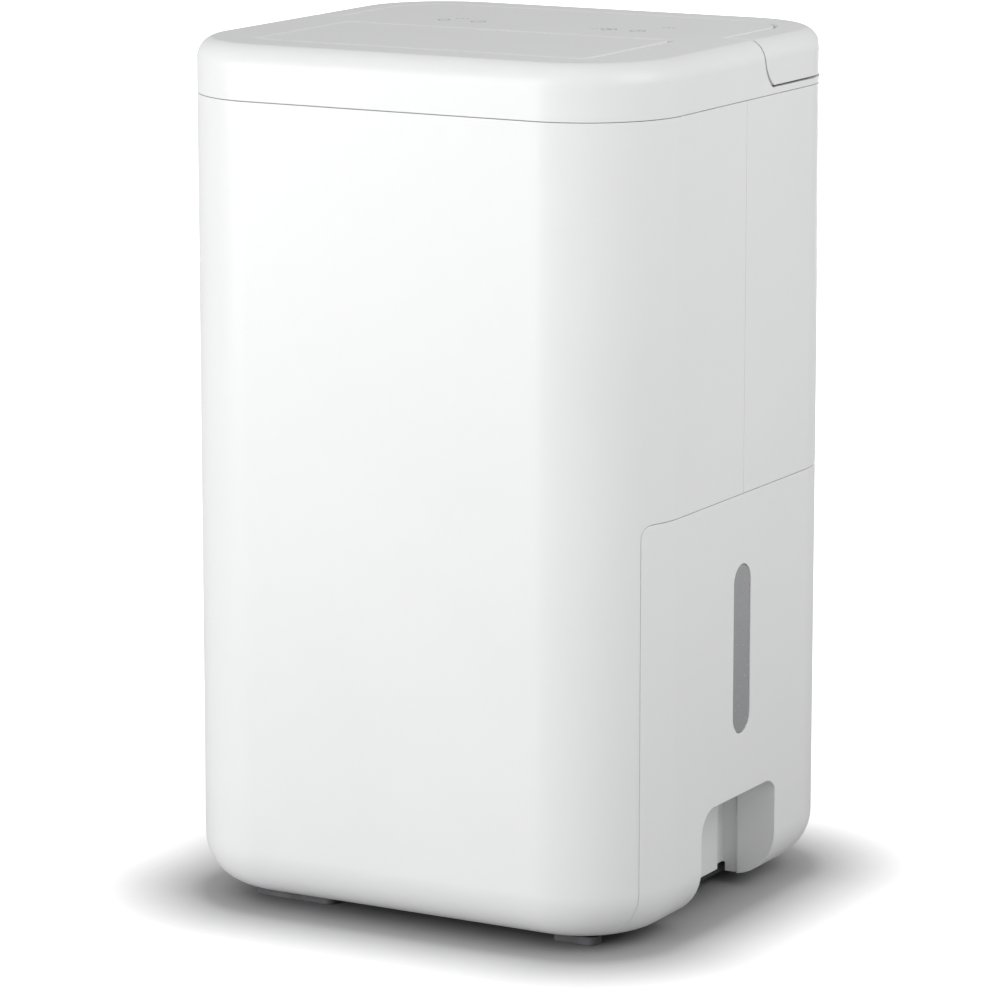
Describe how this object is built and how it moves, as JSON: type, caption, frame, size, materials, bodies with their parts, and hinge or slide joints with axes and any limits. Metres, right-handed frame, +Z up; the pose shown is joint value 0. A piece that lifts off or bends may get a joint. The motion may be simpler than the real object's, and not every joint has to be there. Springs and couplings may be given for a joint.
{
  "type": "dehumidifier",
  "caption": "Upright compact compressor dehumidifier with a rounded white housing, hinged top outlet flap, flip-up carry handle and a pull-out water tank with side grips and level windows.",
  "frame": {"origin": "on the floor, under the middle of the housing's plan outline", "axes": "+Z up, -Y towards the front face, +X to the right as seen from the front"},
  "size_m": [0.295, 0.275, 0.49],
  "materials": {
    "white_shell": "satin",
    "smoke_clear": "clear grey tint",
    "dark_plastic": "fine grain",
    "rubber": "matte",
    "black_can": "gloss enamel",
    "fins": "mill",
    "copper": "copper, drawn",
    "steel": "zinc plated",
    "circuit_board": "solder mask",
    "float_foam": "closed-cell foam"
  },
  "bodies": {
    "housing": {"front_shell": "white_shell", "rear_shell": "white_shell", "top_lid": "white_shell", "air_duct": "dark_plastic", "outlet_guard": "dark_plastic", "flap_bracket_left": "dark_plastic", "flap_bracket_right": "dark_plastic", "base_plate": "dark_plastic", "column_frame": "dark_plastic", "mid_deck": "dark_plastic", "drip_tray": "dark_plastic", "drain_port": "dark_plastic", "fan_scroll": "dark_plastic", "electronics_box": "dark_plastic", "electronics_cover": "dark_plastic", "reed_switch": "dark_plastic", "rear_screw_1": "steel", "rear_screw_2": "steel", "rear_screw_3": "steel", "rear_screw_4": "steel", "handle_pin_left": "steel", "handle_pin_right": "steel", "flap_pin_left": "steel", "flap_pin_right": "steel", "fan_motor": "steel", "flap_motor": "steel", "foot_front_left": "rubber", "foot_front_right": "rubber", "foot_rear_left": "rubber", "foot_rear_right": "rubber", "cord_gland": "rubber", "compressor_grommet_1": "rubber", "compressor_grommet_2": "rubber", "compressor_grommet_3": "rubber", "compressor": "black_can", "accumulator": "black_can", "evaporator": "fins", "condenser": "fins", "run_capacitor": "fins", "discharge_pipe": "copper", "suction_pipe": "copper", "capillary_tube": "copper", "power_board": "circuit_board", "control_board": "circuit_board", "humidity_sensor": "circuit_board"},
    "handle": {"carry_handle": "white_shell"},
    "flap": {"outlet_flap": "white_shell"},
    "tank": {"tank_cover": "white_shell", "tank_container": "smoke_clear", "tank_lid": "smoke_clear", "float_pin": "steel"},
    "float": {"float_arm": "white_shell", "float_block": "float_foam", "float_magnet": "steel"},
    "wheel": {"fan_wheel": "dark_plastic"},
    "intake": {"intake_grille": "white_shell", "filter_frame": "dark_plastic", "filter_mesh": "dark_plastic"},
    "plug": {"drain_plug": "rubber"}
  },
  "joints": [
    {"name": "handle_hinge", "type": "hinge", "parent": "housing", "child": "handle", "pos_m": [0, 0.0357, 0.485], "axis": [1, 0, 0], "range_deg": [0, 90]},
    {"name": "flap_hinge", "type": "hinge", "parent": "housing", "child": "flap", "pos_m": [0, -0.009, 0.4859], "axis": [-1, 0, 0], "range_deg": [0, 65]},
    {"name": "tank_slide", "type": "slide", "parent": "housing", "child": "tank", "axis": [0, 1, 0], "range_m": [0, 0.26]},
    {"name": "float_hinge", "type": "hinge", "parent": "tank", "child": "float", "pos_m": [0, 0.01, 0.213], "axis": [1, 0, 0], "range_deg": [0, 12]},
    {"name": "wheel_spin", "type": "hinge", "parent": "housing", "child": "wheel", "pos_m": [0, 0.0335, 0.3215], "axis": [0, 1, 0], "continuous": true},
    {"name": "intake_pull", "type": "slide", "parent": "housing", "child": "intake", "axis": [0, 1, 0], "range_m": [0, 0.05]},
    {"name": "plug_pull", "type": "slide", "parent": "housing", "child": "plug", "axis": [0, 1, 0], "range_m": [0, 0.03]}
  ]
}
